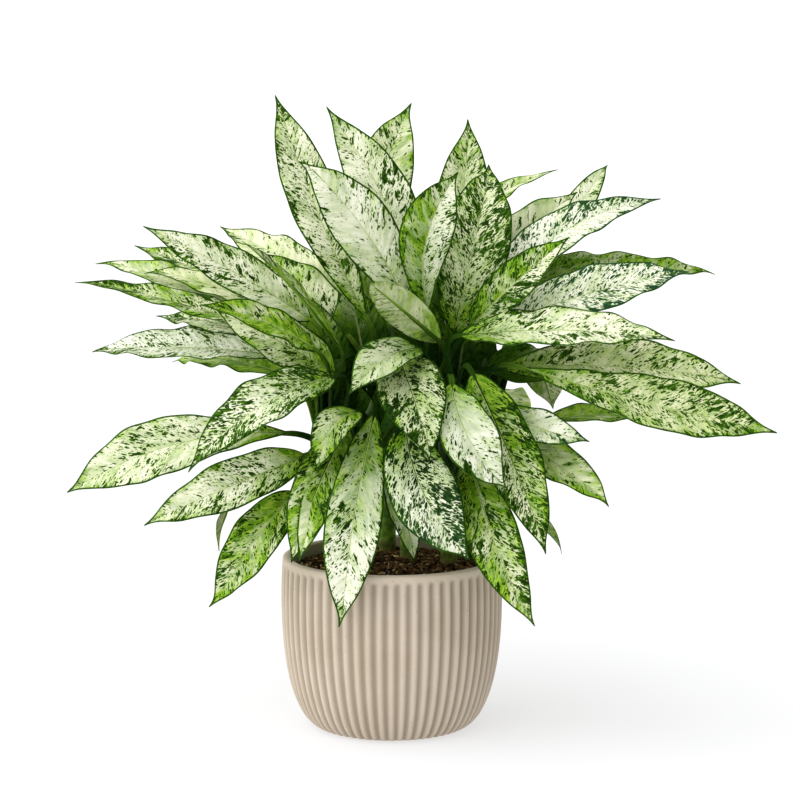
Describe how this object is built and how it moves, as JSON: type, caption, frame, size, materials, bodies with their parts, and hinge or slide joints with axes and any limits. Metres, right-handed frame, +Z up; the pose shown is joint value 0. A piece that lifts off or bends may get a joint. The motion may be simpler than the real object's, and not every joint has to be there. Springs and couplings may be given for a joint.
{
  "type": "potted dieffenbachia",
  "caption": "Leafy potted dieffenbachia with speckled pale leaves on upright canes, in a round ribbed ceramic pot.",
  "frame": {"origin": "middle of the pot's flat underside", "axes": "+Z up, +X to the right as the plant is seen from its best side, which faces -Y"},
  "size_m": [0.616, 0.39, 0.569],
  "materials": {
    "pot_ceramic": "matte",
    "soil": "matte",
    "cane": "satin",
    "leaf": "satin"
  },
  "bodies": {
    "root": {"back_leaf_01": "leaf", "back_leaf_02": "leaf", "front_leaf_01": "leaf", "front_leaf_02": "leaf", "front_leaf_03": "leaf", "front_leaf_04": "leaf", "front_leaf_05": "leaf", "front_leaf_06": "leaf", "front_leaf_07": "leaf", "front_leaf_08": "leaf", "front_leaf_09": "leaf", "front_leaf_10": "leaf", "left_leaf_01": "leaf", "left_leaf_02": "leaf", "left_leaf_03": "leaf", "left_leaf_04": "leaf", "left_leaf_05": "leaf", "left_leaf_06": "leaf", "left_leaf_07": "leaf", "left_leaf_08": "leaf", "left_leaf_09": "leaf", "left_leaf_10": "leaf", "left_leaf_11": "leaf", "left_leaf_12": "leaf", "left_leaf_13": "leaf", "left_leaf_14": "leaf", "left_leaf_15": "leaf", "left_leaf_16": "leaf", "left_leaf_17": "leaf", "pot": "pot_ceramic", "right_leaf_01": "leaf", "right_leaf_02": "leaf", "right_leaf_03": "leaf", "right_leaf_04": "leaf", "right_leaf_05": "leaf", "right_leaf_06": "leaf", "right_leaf_07": "leaf", "right_leaf_08": "leaf", "right_leaf_09": "leaf", "right_leaf_10": "leaf", "right_leaf_11": "leaf", "right_leaf_12": "leaf", "soil": "soil", "stem_centre": "cane", "stem_front_left": "cane", "stem_front_right": "cane", "stem_left": "cane", "stem_rear": "cane", "stem_right": "cane", "top_leaf_01": "leaf", "top_leaf_02": "leaf", "top_leaf_03": "leaf", "top_leaf_04": "leaf", "top_leaf_05": "leaf", "top_leaf_06": "leaf", "top_leaf_07": "leaf", "top_leaf_08": "leaf", "top_leaf_09": "leaf", "top_leaf_10": "leaf", "top_leaf_11": "leaf"}
  },
  "joints": []
}
